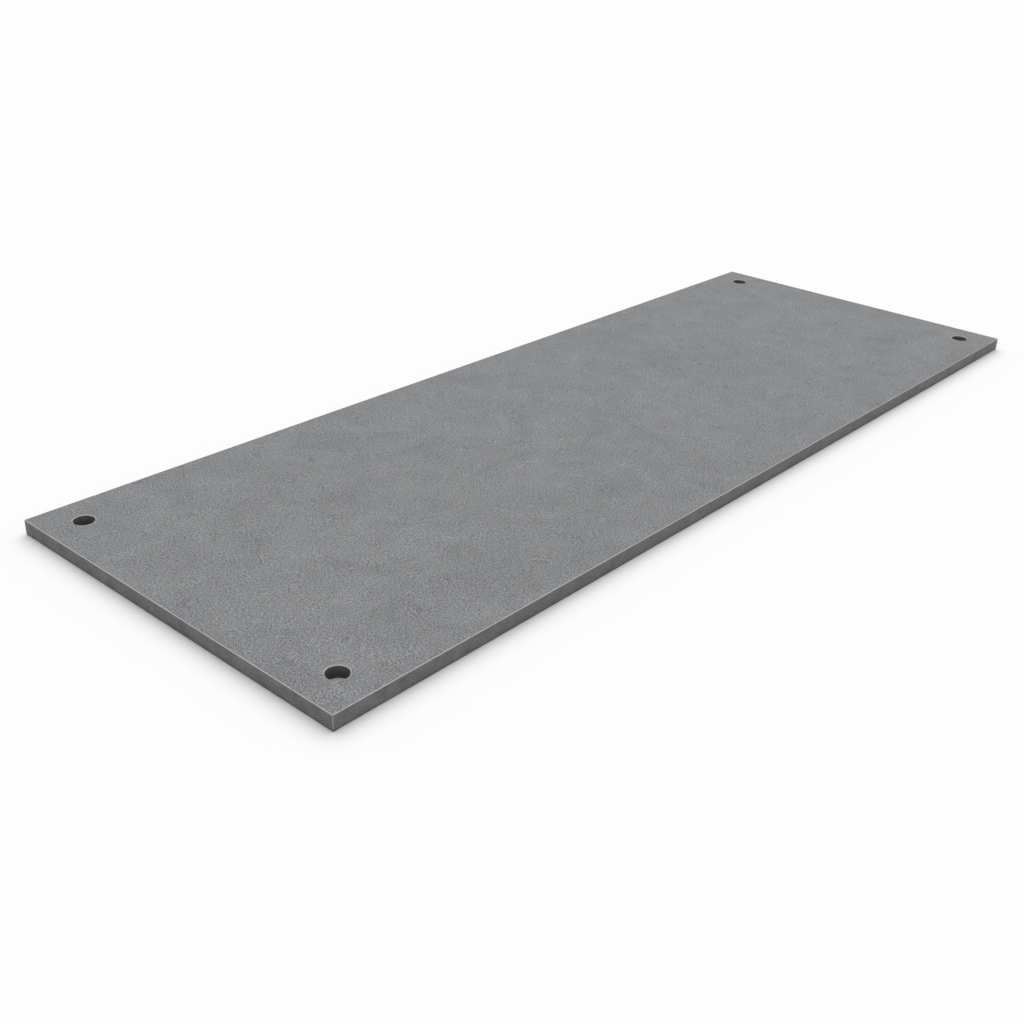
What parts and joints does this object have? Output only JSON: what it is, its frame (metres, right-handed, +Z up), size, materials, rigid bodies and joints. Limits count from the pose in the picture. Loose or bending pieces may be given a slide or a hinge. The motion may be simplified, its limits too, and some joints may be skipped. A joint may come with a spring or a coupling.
{
  "type": "steel plate",
  "caption": "Flat rectangular steel plate with broken edges and a bevelled bolt hole near each corner.",
  "frame": {"origin": "centre of the underside, on the floor that the plate lies on", "axes": "+X along the plate's length, +Y across its width, +Z up through its thickness"},
  "size_m": [0.78, 0.28, 0.01],
  "materials": {
    "steel": "dull grey mill finish with a fine pebbled grain"
  },
  "bodies": {
    "root": {"steel_plate": "steel"}
  },
  "joints": []
}
